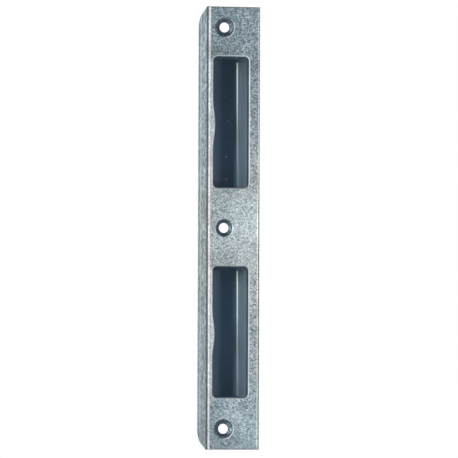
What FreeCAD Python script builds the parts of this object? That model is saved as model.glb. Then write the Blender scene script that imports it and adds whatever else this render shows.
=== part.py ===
import FreeCAD, Part
import math
import os

# Angle strike plate for a door frame, with two closed boxes behind its openings.
# Millimetres. +Z runs up the plate, the front face looks to -Y, and +X is to the right
# as seen from the front. The origin is the middle screw hole, on the back of the plate,
# which is the face that lies on the frame.

# Sheet
sheet = 2.0
plate_length = 235.0
plate_width = 28.7
bend_outside_radius = 2.2
front_edge_round = 0.45

# Leg, bent back along the left edge
leg_depth = 20.4
leg_end_slope = 17.0
leg_corner_radius = 9.5

# Screw holes
screw_hole_diameter = 5.3
screw_hole_inset = 9.5
screw_hole_from_end = 11.0
countersink_diameter = 9.0
countersink_angle = 90.0
countersink_rim_round = 1.7

# Openings for the latch and the bolt
opening_width = 19.3
opening_height = 69.6
opening_spacing = 111.4
opening_rise = 0.45
opening_inset = 3.3
opening_corner_radius = 2.3
opening_rim_round = 0.9
bulge_height = 1.15
bulge_length = 27.6
bulge_drop = 1.0

# Moulded boxes behind the openings
box_wall = 1.0
box_depth = 17.7
box_side_draft = 1.0
box_end_draft = 4.0
box_inside_radius = 0.9
box_side_clearance = 0.1
box_end_clearance = 0.2
flange_length = 8.0
flange_width = 4.0
flange_corner_radius = 2.0
flange_root_radius = 1.2

# Places that follow from the sizes above
plate_left = -screw_hole_inset
plate_right = plate_left + plate_width
plate_front = -sheet
leg_inside = plate_left + sheet
leg_back = plate_front + leg_depth
bend_inside_radius = bend_outside_radius - sheet
opening_left = plate_left + opening_inset
opening_right = opening_left + opening_width
screw_hole_spacing = plate_length / 2 - screw_hole_from_end
left_strip = opening_inset - bend_outside_radius
right_strip = plate_right - opening_right
rim_round = min(opening_rim_round, 0.9 * left_strip, 0.5 * right_strip)
opening_middles = {
    "upper": opening_rise + opening_spacing / 2,
    "lower": opening_rise - opening_spacing / 2,
}
past = 1.0


def vec(x, y, z):
    return FreeCAD.Vector(x, y, z)


def line(start, end):
    return Part.LineSegment(start, end).toShape()


def arc(start, through, end):
    return Part.Arc(start, through, end).toShape()


def face_of(edges):
    return Part.Face(Part.Wire(edges))


def angle_section():
    """Section of the folded sheet, square to its length: face, bend and leg.

    The two corners that show from the front are rolled over, as shearing leaves them.
    """
    z = -plate_length / 2
    roll = front_edge_round
    roll_step = roll * (1 - math.sqrt(0.5))
    middle = vec(plate_left + bend_outside_radius, plate_front + bend_outside_radius, z)
    diagonal = vec(-math.sqrt(0.5), -math.sqrt(0.5), 0)
    outside_start = vec(plate_left, middle.y, z)
    outside_end = vec(middle.x, plate_front, z)
    inside_start = vec(middle.x, 0, z)
    inside_end = vec(leg_inside, middle.y, z)
    front_roll_start = vec(plate_right - roll, plate_front, z)
    front_roll_middle = vec(plate_right - roll_step, plate_front + roll_step, z)
    front_roll_end = vec(plate_right, plate_front + roll, z)
    back_right = vec(plate_right, 0, z)
    leg_end_inside = vec(leg_inside, leg_back, z)
    leg_roll_start = vec(plate_left + roll, leg_back, z)
    leg_roll_middle = vec(plate_left + roll_step, leg_back - roll_step, z)
    leg_roll_end = vec(plate_left, leg_back - roll, z)
    return face_of([
        arc(outside_start, middle + diagonal * bend_outside_radius, outside_end),
        line(outside_end, front_roll_start),
        arc(front_roll_start, front_roll_middle, front_roll_end),
        line(front_roll_end, back_right),
        line(back_right, inside_start),
        arc(inside_start, middle + diagonal * bend_inside_radius, inside_end),
        line(inside_end, leg_end_inside),
        line(leg_end_inside, leg_roll_start),
        arc(leg_roll_start, leg_roll_middle, leg_roll_end),
        line(leg_roll_end, outside_start),
    ])


def leg_end_cut(side):
    """What is cut off one end of the leg: a slope from the bend, then a round corner.

    side is 1 at the top and -1 at the bottom. The slope starts at the back of the plate,
    and the arc touches both it and the far edge of the leg.
    """
    slope = math.radians(leg_end_slope)
    end = plate_length / 2
    x = plate_left - past
    tangent = leg_corner_radius * math.tan((math.pi / 2 - slope) / 2)
    corner_drop = leg_back * math.tan(slope)
    centre_y = leg_back - leg_corner_radius
    centre_drop = corner_drop + tangent
    half_turn = (math.pi / 2 - slope) / 2

    def at(y, drop):
        return vec(x, y, side * (end - drop))

    slope_start = at(0, 0)
    arc_start = at(leg_back - tangent * math.cos(slope), corner_drop - tangent * math.sin(slope))
    arc_middle = at(centre_y + leg_corner_radius * math.cos(half_turn),
                    centre_drop - leg_corner_radius * math.sin(half_turn))
    arc_end = at(leg_back, centre_drop)
    far_low = at(leg_back + past, centre_drop)
    far_high = at(leg_back + past, -past)
    near_high = at(0, -past)
    outline = face_of([
        line(slope_start, arc_start),
        arc(arc_start, arc_middle, arc_end),
        line(arc_end, far_low),
        line(far_low, far_high),
        line(far_high, near_high),
        line(near_high, slope_start),
    ])
    return outline.extrude(vec(sheet + bend_inside_radius + 2 * past, 0, 0))


def end_roll_cut(side):
    """What the rolled front edge at one end of the face leaves out, top 1 or bottom -1."""
    roll = front_edge_round
    roll_step = roll * (1 - math.sqrt(0.5))
    end = plate_length / 2
    x = plate_left - past

    def at(depth, drop):
        return vec(x, plate_front + depth, side * (end - drop))

    outline = face_of([
        arc(at(0, roll), at(roll_step, roll_step), at(roll, 0)),
        line(at(roll, 0), at(roll, -past)),
        line(at(roll, -past), at(-past, -past)),
        line(at(-past, -past), at(-past, roll)),
        line(at(-past, roll), at(0, roll)),
    ])
    return outline.extrude(vec(plate_width + 2 * past, 0, 0))


def opening_outline(middle, y):
    """Outline of one opening at depth y, with the long bulge in its left edge.

    The bulge is four equal arcs, hollow, crowned, crowned, hollow, each tangent to the next.
    """
    top = middle + opening_height / 2
    bottom = middle - opening_height / 2
    radius = opening_corner_radius
    crest = middle - bulge_drop
    half = bulge_length / 2
    bulge_radius = (half ** 2 + bulge_height ** 2) / (4 * bulge_height)
    quarter_angle = math.asin(half / 2 / bulge_radius) / 2
    step_z = bulge_radius * math.sin(quarter_angle)
    step_x = bulge_radius * (1 - math.cos(quarter_angle))
    corner_step = radius * (1 - math.sqrt(0.5))

    def at(x, z):
        return vec(x, y, z)

    def corner(side_x, side_z, x, z, clockwise_from_side):
        beside = at(x, z - side_z * radius)
        along = at(x - side_x * radius, z)
        through = at(x - side_x * corner_step, z - side_z * corner_step)
        if clockwise_from_side:
            return arc(beside, through, along)
        return arc(along, through, beside)

    hollow_end = at(opening_left + bulge_height / 2, crest + half / 2)
    crest_point = at(opening_left + bulge_height, crest)
    crown_end = at(opening_left + bulge_height / 2, crest - half / 2)
    bulge_top = at(opening_left, crest + half)
    bulge_bottom = at(opening_left, crest - half)
    left_top = at(opening_left, top - radius)
    left_bottom = at(opening_left, bottom + radius)
    return Part.Wire([
        corner(-1, 1, opening_left, top, True),
        line(at(opening_left + radius, top), at(opening_right - radius, top)),
        corner(1, 1, opening_right, top, False),
        line(at(opening_right, top - radius), at(opening_right, bottom + radius)),
        corner(1, -1, opening_right, bottom, True),
        line(at(opening_right - radius, bottom), at(opening_left + radius, bottom)),
        corner(-1, -1, opening_left, bottom, False),
        line(left_bottom, bulge_bottom),
        arc(bulge_bottom, at(opening_left + step_x, crest - half + step_z), crown_end),
        arc(crown_end, at(crest_point.x - step_x, crest - step_z), crest_point),
        arc(crest_point, at(crest_point.x - step_x, crest + step_z), hollow_end),
        arc(hollow_end, at(opening_left + step_x, crest + half - step_z), bulge_top),
        line(bulge_top, left_top),
    ])


def opening_cutter(middle):
    """The punch of one opening."""
    outline = Part.Face(opening_outline(middle, plate_front - past))
    return outline.extrude(vec(0, sheet + 2 * past, 0))


def rounded_rims(body):
    """Rounds the front rim of both openings, as far as the strips beside them allow."""
    edges = []
    for edge in body.Edges:
        box = edge.BoundBox
        on_front = abs(box.YMin - plate_front) < 1e-6 and abs(box.YMax - plate_front) < 1e-6
        inside_x = box.XMin > opening_left - 1e-4 and box.XMax < opening_right + 1e-4
        inside_z = any(
            abs(edge.CenterOfMass.z - middle) < opening_height / 2 + 1e-4
            for middle in opening_middles.values()
        )
        if on_front and inside_x and inside_z:
            edges.append(edge)
    return body.makeFillet(rim_round, edges)


def screw_hole_cutter(z):
    """A screw hole: straight at the back, a cone to the front and a rolled rim."""
    hole = screw_hole_diameter / 2
    cone = countersink_diameter / 2
    half_angle = math.radians(countersink_angle / 2)
    cone_depth = (cone - hole) / math.tan(half_angle)
    turn = math.pi / 2 - half_angle
    tangent = countersink_rim_round * math.tan(turn / 2)
    front = plate_front

    def at(radius, y):
        return vec(radius, y, 0)

    rim_inner = at(cone - tangent * math.sin(half_angle), front + tangent * math.cos(half_angle))
    rim_outer = at(cone + tangent, front)
    rim_middle = at(rim_outer.x - countersink_rim_round * math.sin(turn / 2),
                    front + countersink_rim_round * (1 - math.cos(turn / 2)))
    profile = face_of([
        line(at(0, past), at(hole, past)),
        line(at(hole, past), at(hole, front + cone_depth)),
        line(at(hole, front + cone_depth), rim_inner),
        arc(rim_inner, rim_middle, rim_outer),
        line(rim_outer, at(rim_outer.x, front - past)),
        line(at(rim_outer.x, front - past), at(0, front - past)),
        line(at(0, front - past), at(0, past)),
    ])
    cutter = profile.revolve(vec(0, 0, 0), vec(0, 1, 0), 360)
    cutter.translate(vec(0, 0, z))
    return cutter


def make_strike_plate():
    """The folded sheet: face, leg, two openings and three countersunk holes."""
    body = angle_section().extrude(vec(0, 0, plate_length))
    ends = (1, -1)
    body = body.cut([leg_end_cut(side) for side in ends])
    body = body.cut([opening_cutter(middle) for middle in opening_middles.values()])
    body = rounded_rims(body)
    body = body.cut([end_roll_cut(side) for side in ends])
    rows = (-1, 0, 1)
    body = body.cut([screw_hole_cutter(row * screw_hole_spacing) for row in rows])
    return body.Solids[0]


def rounded_outline(left, right, bottom, top, radius, y):
    """A rectangle with round corners, square to Y."""
    step = radius * (1 - math.sqrt(0.5))

    def at(x, z):
        return vec(x, y, z)

    return Part.Wire([
        line(at(left + radius, bottom), at(right - radius, bottom)),
        arc(at(right - radius, bottom), at(right - step, bottom + step), at(right, bottom + radius)),
        line(at(right, bottom + radius), at(right, top - radius)),
        arc(at(right, top - radius), at(right - step, top - step), at(right - radius, top)),
        line(at(right - radius, top), at(left + radius, top)),
        arc(at(left + radius, top), at(left + step, top - step), at(left, top - radius)),
        line(at(left, top - radius), at(left, bottom + radius)),
        arc(at(left, bottom + radius), at(left + step, bottom + step), at(left + radius, bottom)),
    ])


def drafted_block(left, right, bottom, top, depth, edge_round):
    """A block from the back of the plate to a depth, that narrows by the drafts.

    Its four corners and the edges of its far face have the same round.
    """
    side_inset = depth * math.tan(math.radians(box_side_draft))
    end_inset = depth * math.tan(math.radians(box_end_draft))
    block = Part.makeWedge(left, 0, bottom, bottom + end_inset, left + side_inset,
                           right, depth, top, top - end_inset, right - side_inset)
    behind_mouth = [edge for edge in block.Edges if edge.BoundBox.YMax > 1e-6]
    return block.makeFillet(edge_round, behind_mouth)


def make_box(middle):
    """A thin moulded box behind one opening, with a flange on three sides of its mouth."""
    left = leg_inside + bend_inside_radius + box_side_clearance
    inside_left = left + box_wall
    inside_right = opening_right + box_side_clearance
    right = inside_right + box_wall
    inside_top = middle + opening_height / 2 + box_end_clearance
    inside_bottom = middle - opening_height / 2 - box_end_clearance
    top = inside_top + box_wall
    bottom = inside_bottom - box_wall
    outside = drafted_block(left, right, bottom, top, box_depth + box_wall,
                            box_inside_radius + box_wall)
    inside = drafted_block(inside_left, inside_right, inside_bottom, inside_top, box_depth,
                           box_inside_radius)
    flange = Part.Face(rounded_outline(left, right + flange_width, bottom - flange_length,
                                       top + flange_length, flange_corner_radius, 0))
    body = outside.fuse(flange.extrude(vec(0, box_wall, 0))).removeSplitter()
    return rounded_root(body, left, right, bottom, top).cut(inside).Solids[0]


def rounded_root(body, left, right, bottom, top):
    """Fills the corner between the flange and the walls with a round."""
    root = [
        edge for edge in body.Edges
        if abs(edge.BoundBox.YMin - box_wall) < 1e-4
        and abs(edge.BoundBox.YMax - box_wall) < 1e-4
        and edge.BoundBox.XMin > left - 1e-4 and edge.BoundBox.XMax < right + 1e-4
        and edge.BoundBox.ZMin > bottom - 1e-4 and edge.BoundBox.ZMax < top + 1e-4
    ]
    return body.makeFillet(flange_root_radius, root)


def main():
    os.makedirs("parts", exist_ok=True)
    make_strike_plate().exportStep("parts/strike_plate.step")
    for place, middle in opening_middles.items():
        make_box(middle).exportStep("parts/" + place + "_bolt_box.step")


main()
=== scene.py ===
"""Angle strike plate: finishes, floor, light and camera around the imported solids.

Metres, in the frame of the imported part: +Z up the plate, the front face looks to -Y, the
origin is the middle screw hole on the back of the plate, and the leg is on the -X side.
"""

import math
from types import SimpleNamespace

import bpy
from mathutils import Matrix, Vector


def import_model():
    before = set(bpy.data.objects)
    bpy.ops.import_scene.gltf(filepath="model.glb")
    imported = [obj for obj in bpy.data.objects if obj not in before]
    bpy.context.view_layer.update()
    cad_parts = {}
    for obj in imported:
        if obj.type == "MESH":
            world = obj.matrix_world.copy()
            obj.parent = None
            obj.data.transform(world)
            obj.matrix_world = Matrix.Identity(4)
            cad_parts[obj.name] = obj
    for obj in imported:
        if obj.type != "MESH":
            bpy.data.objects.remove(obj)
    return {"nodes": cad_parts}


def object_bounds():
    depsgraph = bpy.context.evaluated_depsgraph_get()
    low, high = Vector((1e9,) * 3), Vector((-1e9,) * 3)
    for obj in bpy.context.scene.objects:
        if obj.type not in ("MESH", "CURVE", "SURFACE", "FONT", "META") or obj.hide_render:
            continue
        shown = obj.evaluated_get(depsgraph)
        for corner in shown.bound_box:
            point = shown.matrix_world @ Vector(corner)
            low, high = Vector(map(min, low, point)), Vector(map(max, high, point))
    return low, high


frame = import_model()
cad_low, cad_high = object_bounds()

MM = 0.001
PLATE = "strike_plate"
BOXES = ("upper_bolt_box", "lower_bolt_box")

# Places on the part

LEFT = cad_low.x
RIGHT = cad_high.x
TOP = cad_high.z
BEND_END = LEFT + 2.2 * MM
OUTER_SCREWS = 213 * MM
SCREW_PITCH = OUTER_SCREWS / 2
POCKET_PITCH = 111.4 * MM
POCKET_AXIS = 3.5 * MM
POCKET_FLOOR = 17.7 * MM
RING_ASIDE = 0.3 * MM
MIDDLE_RING_LESS = 0.45 * MM
RIGHT_LINE_INWARD = 0.35 * MM

# How far from the middle of a pocket the vector outward grows by 1, across and along it
OUTWARD_ACROSS = 8 * MM
OUTWARD_ALONG = 34 * MM

# Sizes of the patterns

SPANGLE = 0.95 * MM
CRYSTAL = 0.85 * MM
STREAK = 1.1 * MM
ZINC_CLOUD = 14 * MM
ZINC_RELIEF = 0.05 * MM
DRAW_LINE = 2.0 * MM
DRAW_RELIEF = 0.03 * MM
FILM_CLOUD = 9 * MM
SPECK_CORE = 0.2 * MM
SPECK_RIM = 0.45 * MM

# The specks of dust on the upper pocket's floor: x, z and how plainly each shows
SPECKS = ((4.9 * MM, 70.9 * MM, 0.25), (7.0 * MM, 57.6 * MM, 0.35),
          (5.9 * MM, 38.5 * MM, 1.0), (6.0 * MM, 26.5 * MM, 0.9))

# Settings that make Map Range ease in and out
SOFT = {"interpolation_type": "SMOOTHSTEP"}


def colour(text):
    """sRGB hex text such as "8c989e" as linear red, green, blue and alpha."""
    parts = [int(text[i:i + 2], 16) / 255 for i in (0, 2, 4)]
    linear = [p / 12.92 if p <= 0.04045 else ((p + 0.055) / 1.055) ** 2.4 for p in parts]
    return (*linear, 1.0)


def mm(*sizes):
    """Sizes in millimetres as metres."""
    return [size * MM for size in sizes]


def add(tree, kind, inputs, out=None, stops=(), **settings):
    """Adds a shader node and gives its output.

    inputs is a list that fills the node's inputs in their order, without those that its
    settings switch off, or a dictionary of them by name. Each is a value or the socket that
    feeds it. out names the output wanted, or lists the names of several. Without it the node
    gives the first that is in use. stops pairs each position of a colour ramp with an sRGB
    hex colour, and settings are the node's own properties.
    """
    node = tree.nodes.new("ShaderNode" + kind)
    for name, value in settings.items():
        setattr(node, name, value)
    if isinstance(inputs, dict):
        fed = [(node.inputs[name], value) for name, value in inputs.items()]
    else:
        fed = zip([socket for socket in node.inputs if socket.enabled], inputs)
    for socket, value in fed:
        if isinstance(value, bpy.types.NodeSocket):
            tree.links.new(value, socket)
        else:
            socket.default_value = value
    if stops:
        elements = node.color_ramp.elements
        while len(elements) < len(stops):
            elements.new(0.5)
        for element, (position, text) in zip(elements, stops):
            element.position = position
            element.color = colour(text)
    if isinstance(out, list):
        return [node.outputs[name] for name in out]
    if out:
        return node.outputs[out]
    return next((socket for socket in node.outputs if socket.enabled), None)


def band(tree, value, places, top=1.0):
    """0 before the first of four places, top from the second to the third, 0 past the last."""
    rise_from, rise_to, fall_from, fall_to = places
    risen = add(tree, "MapRange", [value, rise_from, rise_to, 0.0, top], **SOFT)
    return add(tree, "MapRange", [value, fall_from, fall_to, risen, 0.0], **SOFT)


def whereabouts(tree):
    """The shaded point, its coordinates, its height in the pattern of the pockets and the way
    its surface faces.

    height starts again at 0 every POCKET_PITCH, so it is the same in both pockets, and their
    openings run from 21.35 to 90.95 mm of it.
    """
    point, normal = add(tree, "TexCoord", [], out=["Object", "Normal"])
    x, y, z = add(tree, "SeparateXYZ", [point], out=["X", "Y", "Z"])
    height = add(tree, "Math", [z, POCKET_PITCH, 0.0], operation="WRAP")
    facing_x, facing_y, facing_z = add(tree, "SeparateXYZ", [normal], out=["X", "Y", "Z"])
    return SimpleNamespace(point=point, x=x, y=y, z=z, height=height, normal=normal,
                           facing_x=facing_x, facing_y=facing_y, facing_z=facing_z)


def material(name):
    """A new node material and its tree, emptied."""
    made = bpy.data.materials.new(name)
    made.use_nodes = True
    made.node_tree.nodes.clear()
    return made, made.node_tree


def dress(node, finish):
    """Gives a CAD node its finish."""
    slots = frame["nodes"][node].data.materials
    slots.clear()
    slots.append(finish)


# Finishes


def galvanised_steel():
    """Hot-dip galvanised sheet with a fine, worm-like spangle about 1 mm across.

    The leg keeps the drawn grain of the folding tool, with a painted highlight in a band
    towards its sheared edge. Painted shade darkens the start of the bend, the crest of the
    bend is worn to a bright grain, and the rolled rims are smooth, with a paler tone painted
    on as a sheen. The face has painted light beside the screw holes and painted shade just
    above each opening. The countersinks are bare and smooth, painted dark for the shade in
    them, with painted light on their right side and a thin painted highlight at the lower
    right.
    """
    made, tree = material("galvanised_steel")
    at = whereabouts(tree)

    # How squarely the surface faces front or back, and where on the plate the point is
    square = add(tree, "Math", [at.facing_y], operation="ABSOLUTE")
    front = add(tree, "MapRange", [at.y, *mm(-0.9, -0.5), 1.0, 0.0], **SOFT)
    off_back = add(tree, "MapRange", [at.y, *mm(-0.1, -0.03), 1.0, 0.0], **SOFT)
    on_leg = add(tree, "MapRange", [at.y, *mm(0.1, 0.6)], **SOFT)
    on_bend = add(tree, "MapRange", [at.x, BEND_END - 0.3 * MM, BEND_END, 1.0, 0.0], **SOFT)
    middle = band(tree, at.z, mm(-60, -20, 20, 60))
    from_left = add(tree, "Math", [at.x, LEFT], operation="SUBTRACT")
    past_end = add(tree, "Math", [add(tree, "Math", [at.z], operation="ABSOLUTE"), TOP],
                   operation="SUBTRACT")
    past_side = add(tree, "Math", [at.x, RIGHT], operation="SUBTRACT")
    past_edge = add(tree, "Math", [past_end, past_side], operation="MAXIMUM")

    # Round the screw holes, whose rings of painted shade stand a little to the left of them, with a
    # thin painted highlight at their lower right
    above_hole = add(tree, "Math", [at.z, SCREW_PITCH / 2, -SCREW_PITCH / 2], operation="WRAP")
    from_hole = add(tree, "CombineXYZ", {"X": at.x, "Z": above_hole})
    from_ring = add(tree, "VectorMath", [from_hole, (RING_ASIDE, 0.0, 0.0)], operation="ADD")
    radius = add(tree, "VectorMath", [from_ring], operation="LENGTH")
    ring = add(tree, "Math", [middle, MIDDLE_RING_LESS, radius], operation="MULTIPLY_ADD")
    bare_and_painted_shade = add(tree, "MapRange", [ring, *mm(5.05, 5.25), off_back, 0.0], **SOFT)
    low_right = add(tree, "VectorMath", [from_hole, (0.9, 0.0, -0.44)], operation="DOT_PRODUCT")
    low_right = add(tree, "Math", [low_right, radius], operation="DIVIDE")
    painted_crescent = add(tree, "Mix", [middle, 1.0, 0.6])
    painted_crescent = add(tree, "MapRange", [low_right, 0.3, 0.75, 0.0, painted_crescent], **SOFT)
    painted_crescent = band(tree, ring, mm(5.25, 5.35, 5.55, 5.65), painted_crescent)
    painted_crescent = add(tree, "Math", [painted_crescent, off_back], operation="MULTIPLY")

    # The rims that roll over from the front, without those of the countersinks
    rolled = add(tree, "MapRange", [square, 0.97, 0.998, front, 0.0], **SOFT)
    rolled = add(tree, "MapRange", [radius, *mm(6, 6.5), 0.0, rolled], **SOFT)
    rolled_bend = add(tree, "Math", [rolled, on_bend], operation="MULTIPLY")

    # The spangle, weaker in the middle of the face and at its foot
    squeezed = add(tree, "Mapping", {"Vector": at.point, "Scale": (1.0, 1.0, 1.15)})
    worm = add(tree, "TexNoise", {
        "Vector": squeezed, "Scale": 1 / SPANGLE, "Detail": 2.0, "Roughness": 0.6,
        "Distortion": 1.3})
    crystal = add(tree, "TexVoronoi", {"Vector": at.point, "Scale": 1 / CRYSTAL}, out="Color")
    crystal_tone, crystal_gloss = add(tree, "SeparateColor", [crystal], out=["Red", "Green"])
    spangle = add(tree, "MapRange", [worm, 0.34, 0.66], **SOFT)
    spangle = add(tree, "Mix", [0.3, spangle, crystal_tone])
    calm = add(tree, "MapRange", [at.x, *mm(-8, 8), 0.12, 0.26], **SOFT)
    calm = band(tree, at.z, mm(-34, -10, 10, 34), calm)
    calm_foot = add(tree, "MapRange", [at.z, *mm(-90, -100), 0.0, 0.2], **SOFT)
    calm = add(tree, "Math", [calm, calm_foot], operation="MAXIMUM")
    spangle = add(tree, "Mix", [calm, spangle, 0.56])

    # The drawn grain of the leg and a painted highlight in a band towards its edge
    drawn = add(tree, "Mapping", {"Vector": at.point, "Scale": (1.0, 1.0, 0.5)})
    streaks = add(tree, "TexNoise", {
        "Vector": drawn, "Scale": 1 / STREAK, "Detail": 2.0, "Roughness": 0.6})
    streaks = add(tree, "MapRange", [streaks, 0.32, 0.68, 0.24, 1.12], **SOFT)
    painted_leg_highlight = band(tree, at.y, mm(10.8, 11.4, 13.4, 14.0), 0.6)
    streaks = add(tree, "Mix", [painted_leg_highlight, streaks, 1.1])
    pattern = add(tree, "Mix", [on_leg, spangle, streaks])

    # Painted highlights: paler, smoother rolled rims, a strip beside the bend, a line on the right
    # edge
    smooth_and_sheen = add(tree, "Math", [rolled, 0.8], operation="MULTIPLY")
    sheen_tone = add(tree, "Mix", [on_bend, 0.62, 0.55])
    painted_strip_highlight = add(tree, "Math", [front, 0.5], operation="MULTIPLY")
    painted_strip_highlight = band(tree, at.height, mm(21, 24, 88, 91), painted_strip_highlight)
    painted_strip_highlight = band(tree, at.x, mm(-7.7, -7.4, -6.3, -6.0), painted_strip_highlight)
    lower_part = add(tree, "MapRange", [at.z, *mm(45, 5)], **SOFT)
    slid = add(tree, "Math", [lower_part, RIGHT_LINE_INWARD, past_side], operation="MULTIPLY_ADD")
    painted_brim_highlight = band(tree, slid, mm(-1.05, -0.9, -0.5, -0.4), 0.7)
    for area, tone in ((smooth_and_sheen, sheen_tone), (painted_strip_highlight, 1.0), (painted_brim_highlight, 1.05)):
        pattern = add(tree, "Mix", [area, pattern, tone])

    # Painted shade where the bend starts, and on the sheared edges of the face
    painted_bend_shade = add(tree, "MapRange", [at.z, *mm(-5, -50), 0.0, 0.06], **SOFT)
    painted_bend_shade = add(tree, "Math", [square, painted_bend_shade], operation="SUBTRACT")
    painted_bend_shade = band(tree, painted_bend_shade, (-0.1, 0.3, 0.6, 0.74))
    painted_bend_shade = add(tree, "MapRange", [from_left, *mm(1.4, 1.8), painted_bend_shade, 0.0], **SOFT)
    painted_bend_shade = add(tree, "MapRange", [at.y, *mm(-0.1, 0.3), painted_bend_shade, 0.0], **SOFT)
    sheared_edge_shade = add(tree, "MapRange", [square, 0.3, 0.45, 1.0, 0.0], **SOFT)
    sheared_edge_shade = add(tree, "MapRange", [from_left, *mm(1.0, 1.5), 0.0, sheared_edge_shade], **SOFT)
    sheared_edge_shade = band(tree, at.y, mm(-1.4, -1.0, 0.15, 0.5), sheared_edge_shade)

    # Painted shade on the leg's tip and lower part, and dark outlines painted along the face's
    # edges
    painted_leg_tip_shade = add(tree, "MapRange", [at.z, *mm(-60, 40), 0.3, 1.0], **SOFT)
    painted_leg_tip_shade = band(tree, at.y, mm(14.3, 14.7, 16.8, 17.3), painted_leg_tip_shade)
    painted_low_leg_shade = add(tree, "MapRange", [at.z, *mm(60, -100), 0.0, on_leg], **SOFT)
    painted_outline_shade = add(tree, "MapRange", [past_edge, *mm(-0.45, -0.3)], **SOFT)
    painted_right_line_shade = add(tree, "MapRange", [slid, *mm(-0.5, -0.35), 0.0, lower_part], **SOFT)

    # Painted light and shade in broad areas of the face: painted light beside each hole, centred
    # 2.3 mm below an outer one and 4 mm above the middle one, and painted shade above and beside
    # the openings, at the lower left corner and on the upper bend
    hole_light = add(tree, "Mix", [middle, *mm(-2.3, 4)])
    hole_light = add(tree, "Math", [above_hole, hole_light], operation="SUBTRACT")
    hole_light = add(tree, "Math", [hole_light], operation="ABSOLUTE")
    painted_light_by_hole = add(tree, "MapRange", [at.x, *mm(-1, 6), 0.0, front], **SOFT)
    painted_light_by_hole = add(tree, "MapRange", [hole_light, *mm(14, 6), 0.0, painted_light_by_hole], **SOFT)
    painted_shade_above_opening = band(tree, at.height, mm(88, 91, 94, 100), front)
    painted_shade_above_opening_level = add(tree, "MapRange", [at.x, *mm(-7, 15), 0.8, 1.0], **SOFT)
    painted_shade_beside_opening = band(tree, at.height, mm(21, 26, 86, 91))
    painted_shade_beside_opening = add(tree, "MapRange", [at.x, *mm(13.6, 14.2), 0.0, painted_shade_beside_opening], **SOFT)
    painted_shade_low_corner = add(tree, "MapRange", [at.z, *mm(-98, -110)], **SOFT)
    painted_shade_low_corner = add(tree, "MapRange", [at.x, *mm(11, 2), 0.0, painted_shade_low_corner], **SOFT)
    painted_shade_upper_bend = add(tree, "MapRange", [at.z, *mm(-10, 45), 0.0, rolled_bend], **SOFT)

    # How light the zinc is, from a slow cloud and all the painted light and shade above
    shade = add(tree, "TexNoise", {"Vector": at.point, "Scale": 1 / ZINC_CLOUD, "Detail": 3.0})
    shade = add(tree, "MapRange", [shade, 0.3, 0.7, 0.936, 1.144], **SOFT)
    for area, level in (
            (painted_bend_shade, 0.4), (sheared_edge_shade, 0.4), (painted_leg_tip_shade, 0.72), (painted_low_leg_shade, 0.846), (painted_outline_shade, 0.35),
            (painted_right_line_shade, 0.6), (painted_light_by_hole, 1.16), (painted_shade_above_opening, painted_shade_above_opening_level),
            (painted_shade_beside_opening, 0.84), (painted_shade_low_corner, 0.8), (painted_shade_upper_bend, 0.82)):
        factor = add(tree, "Mix", [area, 1.0, level])
        shade = add(tree, "Math", [shade, factor], operation="MULTIPLY")

    # The zinc: worn on the bend, a paler painted sheen on the rims, painted warm light in the
    # middle
    zinc = add(tree, "ValToRGB", [pattern], stops=[
        (0.1, "3f545f"), (0.5, "70858e"), (0.9, "9cadb3"), (1.0, "b3c0c4")])
    grain = add(tree, "ValToRGB", [worm], stops=[(0.36, "787577"), (0.62, "a3a0a1")])
    grain_and_rim_sheen = add(tree, "Mix", [on_bend, colour("969ea2"), grain], data_type="RGBA")
    worn_and_sheen = add(tree, "MapRange", [past_edge, *mm(-1.2, -0.9), 0.75, 0.0], **SOFT)
    worn_and_sheen = add(tree, "Mix", [on_bend, worn_and_sheen, 0.75])
    worn_and_sheen = add(tree, "Math", [worn_and_sheen, rolled], operation="MULTIPLY")
    zinc = add(tree, "Mix", [worn_and_sheen, zinc, grain_and_rim_sheen], data_type="RGBA")
    painted_warm_light = band(tree, at.z, mm(-95, -10, 10, 70))
    zinc = add(tree, "Mix", [painted_warm_light, zinc, colour("fffaf5")], data_type="RGBA", blend_type="MULTIPLY")
    zinc = add(tree, "VectorMath", [zinc, shade], operation="SCALE")

    # Bare steel in the countersinks, painted dark for their shade, with painted light on the right
    painted_light_and_grain = add(tree, "Math", [at.x, radius], operation="DIVIDE")
    painted_light_and_grain = add(tree, "MapRange", [painted_light_and_grain, 0.2, 0.8, 0.0, 0.13], **SOFT)
    painted_light_and_grain = add(tree, "MapRange", [ring, *mm(4.3, 4.8), painted_light_and_grain, 0.0], **SOFT)
    painted_light_and_grain = add(tree, "Math", [painted_light_and_grain, worm], operation="ADD")
    bare_steel_in_painted_shade = add(tree, "ValToRGB", [painted_light_and_grain], stops=[
        (0.5, "384550"), (0.66, "55636e"), (0.78, "9ca6ac")])
    base = add(tree, "Mix", [bare_and_painted_shade, zinc, bare_steel_in_painted_shade], data_type="RGBA")
    base = add(tree, "Mix", [painted_crescent, base, colour("c4cacd")], data_type="RGBA")

    # Satin where the zinc is rolled or cut away, and flatter there
    rolled_rough = add(tree, "Mix", [on_bend, 0.64, 0.56])
    rough = add(tree, "Mix", [crystal_gloss, 0.46, 0.58])
    for area, level in ((rolled, rolled_rough), (bare_and_painted_shade, 0.6)):
        rough = add(tree, "Mix", [area, rough, level])
    relief = add(tree, "Mix", [rolled, 0.35, 0.08])
    relief = add(tree, "Mix", [bare_and_painted_shade, relief, 0.0])
    bump = add(tree, "Bump", {"Height": pattern, "Strength": relief, "Distance": ZINC_RELIEF})
    surface = add(tree, "BsdfPrincipled", {
        "Base Color": base, "Metallic": 1.0, "Roughness": rough, "Normal": bump})
    add(tree, "OutputMaterial", [surface])
    return made


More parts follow.
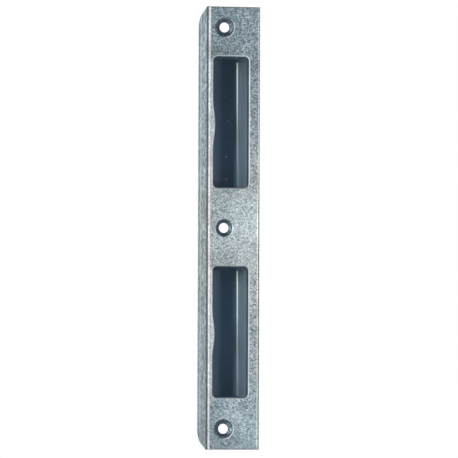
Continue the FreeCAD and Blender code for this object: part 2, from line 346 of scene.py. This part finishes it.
def moulded_grey():
    """Dark grey ABS from a polished tool: even, a soft gloss, faint draw lines.

    Inside the pockets, grease dulls the floor and the ends and tints them bluer, a tint that
    also stands in for the blue of the shade there. Painted shade darkens a band at the mouth,
    the upper walls and the walls towards their ends, and painted light makes the floor paler
    near its ends. A painted highlight runs up the corner of the floor and the right wall,
    bright at the top of a pocket and faint at its bottom, and four specks of dust lie on the
    upper floor. The outsides are clean.
    """
    made, tree = material("dark_grey_abs")
    at = whereabouts(tree)

    # Which face of a box the point is on: those that face its axis are inside
    across = add(tree, "Math", [at.x, POCKET_AXIS], operation="SUBTRACT")
    across = add(tree, "Math", [across, OUTWARD_ACROSS], operation="DIVIDE")
    along = add(tree, "Math", [at.height, POCKET_PITCH / 2], operation="SUBTRACT")
    along = add(tree, "Math", [along, OUTWARD_ALONG], operation="DIVIDE")
    outward = add(tree, "CombineXYZ", [across, 1.0, along])
    inside = add(tree, "VectorMath", [outward, at.normal], operation="DOT_PRODUCT")
    inside = add(tree, "MapRange", [inside, -0.6, -0.3, 1.0, 0.0], **SOFT)
    sideways = add(tree, "Math", [at.facing_x], operation="ABSOLUTE")
    upright = add(tree, "Math", [at.facing_z], operation="ABSOLUTE")
    on_wall = add(tree, "MapRange", [sideways, 0.6, 0.9], **SOFT)
    on_end = add(tree, "MapRange", [upright, 0.7, 0.9, 0.0, inside], **SOFT)
    floor_facing = add(tree, "MapRange", [sideways, 0.3, 0.6, 1.0, 0.0], **SOFT)
    floor_facing = add(tree, "MapRange", [at.x, *mm(11.7, 12.0), floor_facing, 0.0], **SOFT)
    floor_facing = add(tree, "MapRange", [at.facing_y, -0.6, -0.3, floor_facing, 0.0], **SOFT)
    on_floor = add(tree, "MapRange", [at.y, *mm(15.5, 16.3), 0.0, floor_facing], **SOFT)
    corner = add(tree, "MapRange", [at.y, *mm(15.0, 16.2), 0.0, inside], **SOFT)
    corner = add(tree, "MapRange", [at.x, *mm(10, 11), 0.0, corner], **SOFT)
    dull = add(tree, "Math", [floor_facing, corner], operation="MAXIMUM")

    # The plastic, and grease that tints floor and ends bluer, standing in for the blue of their
    # shade too
    drawn = add(tree, "Mapping", {"Vector": at.point, "Scale": (1.0, 1.0, 0.02)})
    lines = add(tree, "TexNoise", {"Vector": drawn, "Scale": 1 / DRAW_LINE, "Detail": 3.0})
    cloud = add(tree, "TexNoise", {"Vector": at.point, "Scale": 1 / FILM_CLOUD, "Detail": 3.0})
    both = add(tree, "Mix", [0.5, lines, cloud])
    clean = add(tree, "ValToRGB", [both], stops=[(0.3, "4d5b65"), (0.7, "5f6f7a")])
    grease_and_shade_tint = add(tree, "ValToRGB", [both], stops=[(0.3, "375065"), (0.7, "425b6f")])
    soiled_and_shaded = add(tree, "Math", [on_end, 0.8], operation="MULTIPLY")
    soiled_and_shaded = add(tree, "Math", [floor_facing, soiled_and_shaded], operation="MAXIMUM")
    tint = add(tree, "Mix", [soiled_and_shaded, clean, grease_and_shade_tint], data_type="RGBA")

    # Painted shade: a dark band at the mouth, lighter just inside, darker high up and towards the
    # ends
    shade = add(tree, "MapRange", [at.y, *mm(1.0, 3.5), 0.521, 1.24], **SOFT)
    shade = add(tree, "MapRange", [at.y, *mm(4, 17), shade, 0.98], **SOFT)
    high_up = add(tree, "MapRange", [at.z, *mm(36, 84), 1.0, 0.82], **SOFT)
    wall_end = add(tree, "MapRange", [at.height, *mm(22, 32), 0.84, 1.0], **SOFT)
    wall_end = add(tree, "MapRange", [at.height, *mm(76, 90), wall_end, 0.76], **SOFT)
    wall_end = add(tree, "Mix", [on_wall, 1.0, wall_end])
    for factor in (high_up, wall_end):
        shade = add(tree, "Math", [shade, factor], operation="MULTIPLY")
    shade = add(tree, "Mix", [inside, 1.0, shade])
    tint = add(tree, "VectorMath", [tint, shade], operation="SCALE")

    # Painted light: the floor is paler near its ends and, in the lower pocket, beside the corner
    # line
    painted_floor_light = add(tree, "MapRange", [at.height, *mm(22, 40), 1.1, 0.0], **SOFT)
    painted_floor_light = add(tree, "MapRange", [at.height, *mm(74, 88), painted_floor_light, 0.55], **SOFT)
    to_the_left = add(tree, "MapRange", [at.x, *mm(6, 11.5), 0.5, 0.3], **SOFT)
    painted_floor_light = add(tree, "Math", [painted_floor_light, to_the_left], operation="MULTIPLY")
    painted_light_by_line = add(tree, "MapRange", [at.x, *mm(8.4, 11), 0.0, 0.55], **SOFT)
    painted_light_by_line = add(tree, "MapRange", [at.z, *mm(-10, -50), 0.0, painted_light_by_line], **SOFT)
    painted_floor_light = add(tree, "Math", [painted_floor_light, painted_light_by_line], operation="MAXIMUM")
    painted_floor_light = add(tree, "Math", [painted_floor_light, on_floor], operation="MULTIPLY")

    # A painted highlight in the corner of the floor and right wall, leaning a little left as it
    # rises
    painted_corner_highlight = add(tree, "MapRange", [at.height, *mm(26, 84), 0.04, 1.1])
    lower_highlight_level = add(tree, "MapRange", [at.z, *mm(-70, -10), 0.75, 1.0], **SOFT)
    painted_corner_highlight = add(tree, "Math", [painted_corner_highlight, lower_highlight_level], operation="MULTIPLY")
    painted_corner_highlight = band(tree, at.height, mm(20, 24, 88, 89.5), painted_corner_highlight)
    leaning_x = add(tree, "Math", [at.z, 0.0033, at.x], operation="MULTIPLY_ADD")
    painted_corner_highlight = band(tree, leaning_x, mm(11.73, 11.83, 12.3, 12.4), painted_corner_highlight)
    painted_corner_highlight = add(tree, "MapRange", [at.y, *mm(16.4, 16.6), 0.0, painted_corner_highlight], **SOFT)
    painted_corner_highlight = add(tree, "Math", [painted_corner_highlight, inside], operation="MULTIPLY")

    # The specks of dust
    dust = 0.0
    for speck_x, speck_z, plain in SPECKS:
        apart = add(tree, "VectorMath", [at.point, (speck_x, POCKET_FLOOR, speck_z)],
                    operation="DISTANCE")
        speck = add(tree, "MapRange", [apart, SPECK_CORE, SPECK_RIM, plain, 0.0], **SOFT)
        dust = add(tree, "Math", [speck, dust], operation="ADD")
    for area, text in ((painted_floor_light, "4b6071"), (painted_corner_highlight, "e2eeec"), (dust, "aab6bc")):
        tint = add(tree, "Mix", [area, tint, colour(text)], data_type="RGBA")

    # Grease takes the gloss off the floor and its right corner, and evens out the ends
    rough = add(tree, "MapRange", [cloud, 0.3, 0.7, 0.28, 0.38])
    for area, level in ((dull, 0.55), (on_end, 0.35)):
        rough = add(tree, "Mix", [area, rough, level])
    gloss = add(tree, "Mix", [dull, 0.5, 0.2])
    relief = add(tree, "Mix", [on_end, 0.1, 0.0])
    bump = add(tree, "Bump", {"Height": lines, "Strength": relief, "Distance": DRAW_RELIEF})
    surface = add(tree, "BsdfPrincipled", {
        "Base Color": tint, "Roughness": rough, "Normal": bump, "Specular IOR Level": gloss})
    add(tree, "OutputMaterial", [surface])
    return made


# Floor and light

FLOOR_DROP = 400 * MM
FLOOR_HALF = 1300 * MM
FLOOR_GLOW = 0.65
SOFT_LIGHT = 0.7
ROOM_MIRRORED = 0.25


def floor():
    """A plain pale floor below the part, white to the camera, that keeps the part's shadow."""
    made, tree = material("pale_floor")
    seen, mirrored = add(tree, "LightPath", [], out=["Is Camera Ray", "Is Glossy Ray"])
    matt = add(tree, "BsdfDiffuse", {"Color": colour("e6e6e6")})
    seen = add(tree, "Math", [seen, mirrored], operation="MAXIMUM")
    glow = add(tree, "Math", [seen, FLOOR_GLOW], operation="MULTIPLY")
    glow = add(tree, "Emission", {"Strength": glow})
    both = add(tree, "AddShader", [matt, glow])
    add(tree, "OutputMaterial", [both])
    z = cad_low.z - FLOOR_DROP
    h = FLOOR_HALF
    mesh = bpy.data.meshes.new("floor")
    mesh.from_pydata([(-h, -h, z), (h, -h, z), (h, h, z), (-h, h, z)], [], [(0, 1, 2, 3)])
    mesh.materials.append(made)
    plane = bpy.data.objects.new("floor", mesh)
    bpy.context.scene.collection.objects.link(plane)


def world():
    """White to the camera, white in reflections of the backdrop behind the part and dimmer in
    those of the room in front of it, and a soft light on what is matt."""
    made = bpy.data.worlds.new("studio")
    made.use_nodes = True
    tree = made.node_tree
    tree.nodes.clear()
    seen, through, glossy = add(tree, "LightPath", [], out=[
        "Is Camera Ray", "Is Transmission Ray", "Is Glossy Ray"])
    way = add(tree, "TexCoord", [], out="Generated")
    behind = add(tree, "SeparateXYZ", [way], out="Y")
    mirrored = add(tree, "MapRange", [behind, -0.9, -0.2, ROOM_MIRRORED, 1.0], **SOFT)
    strength = add(tree, "Mix", [glossy, SOFT_LIGHT, mirrored])
    clear = add(tree, "Math", [seen, through], operation="MAXIMUM")
    strength = add(tree, "Mix", [clear, strength, 1.0])
    back = add(tree, "Background", {"Color": colour("ffffff"), "Strength": strength})
    add(tree, "OutputWorld", [back])
    bpy.context.scene.world = made


def direction(azimuth, elevation):
    """The way out from the part at two angles in degrees. Azimuth 0 is in front of it and 90
    on its right."""
    a, e = math.radians(azimuth), math.radians(elevation)
    return Vector((math.sin(a) * math.cos(e), -math.cos(a) * math.cos(e), math.sin(e)))


def lamp(name, azimuth, elevation, distance, width, height, light, tone):
    """A soft box that looks at the part. light is what a white card square to it would show."""
    away = direction(azimuth, elevation)
    data = bpy.data.lights.new(name, "AREA")
    data.shape = "RECTANGLE"
    data.size = width
    data.size_y = height
    data.energy = math.pi ** 2 * distance ** 2 * light
    data.color = colour(tone)[:3]
    made = bpy.data.objects.new(name, data)
    made.location = away * distance
    made.rotation_mode = "QUATERNION"
    made.rotation_quaternion = away.to_track_quat("Z", "Y")
    made.visible_camera = False
    bpy.context.scene.collection.objects.link(made)


# Camera

VIEW_AZIMUTH = -14.5
VIEW_ELEVATION = -1.7
VIEW_ROLL = 0.2
VIEW_DISTANCE = 3.0
SENSOR_WIDTH = 36
PICTURE_PIXELS = 458
PLATE_MIDDLE_PIXEL = (223.6, 227.95)
OUTER_SCREWS_PIXELS = 401.5


def camera():
    """The photograph's view: from the left, a little low, through a long lens."""
    away = direction(VIEW_AZIMUTH, VIEW_ELEVATION)
    roll = Matrix.Rotation(math.radians(VIEW_ROLL), 3, "Z")
    axes = away.to_track_quat("Z", "Y").to_matrix() @ roll
    pixel = OUTER_SCREWS / OUTER_SCREWS_PIXELS
    aside = (PICTURE_PIXELS / 2 - PLATE_MIDDLE_PIXEL[0]) * pixel
    up = (PLATE_MIDDLE_PIXEL[1] - PICTURE_PIXELS / 2) * pixel
    target = axes @ Vector((aside, up, 0))
    data = bpy.data.cameras.new("camera")
    data.sensor_width = SENSOR_WIDTH
    data.lens = data.sensor_width * VIEW_DISTANCE / (PICTURE_PIXELS * pixel)
    data.clip_start = 0.1
    data.clip_end = 100
    made = bpy.data.objects.new("camera", data)
    made.matrix_world = Matrix.Translation(target + away * VIEW_DISTANCE) @ axes.to_4x4()
    bpy.context.scene.collection.objects.link(made)
    bpy.context.scene.camera = made


steel = galvanised_steel()
grey = moulded_grey()
dress(PLATE, steel)
for node in BOXES:
    dress(node, grey)

floor()
world()
lamp("key_right", azimuth=35, elevation=-3, distance=0.26, width=0.06, height=0.08,
     light=0.79, tone="ffe6df")
lamp("strip_left", azimuth=-43, elevation=8, distance=0.9, width=0.1, height=0.4,
     light=1.25, tone="ffffff")
camera()
bpy.context.scene.view_settings.view_transform = "Standard"
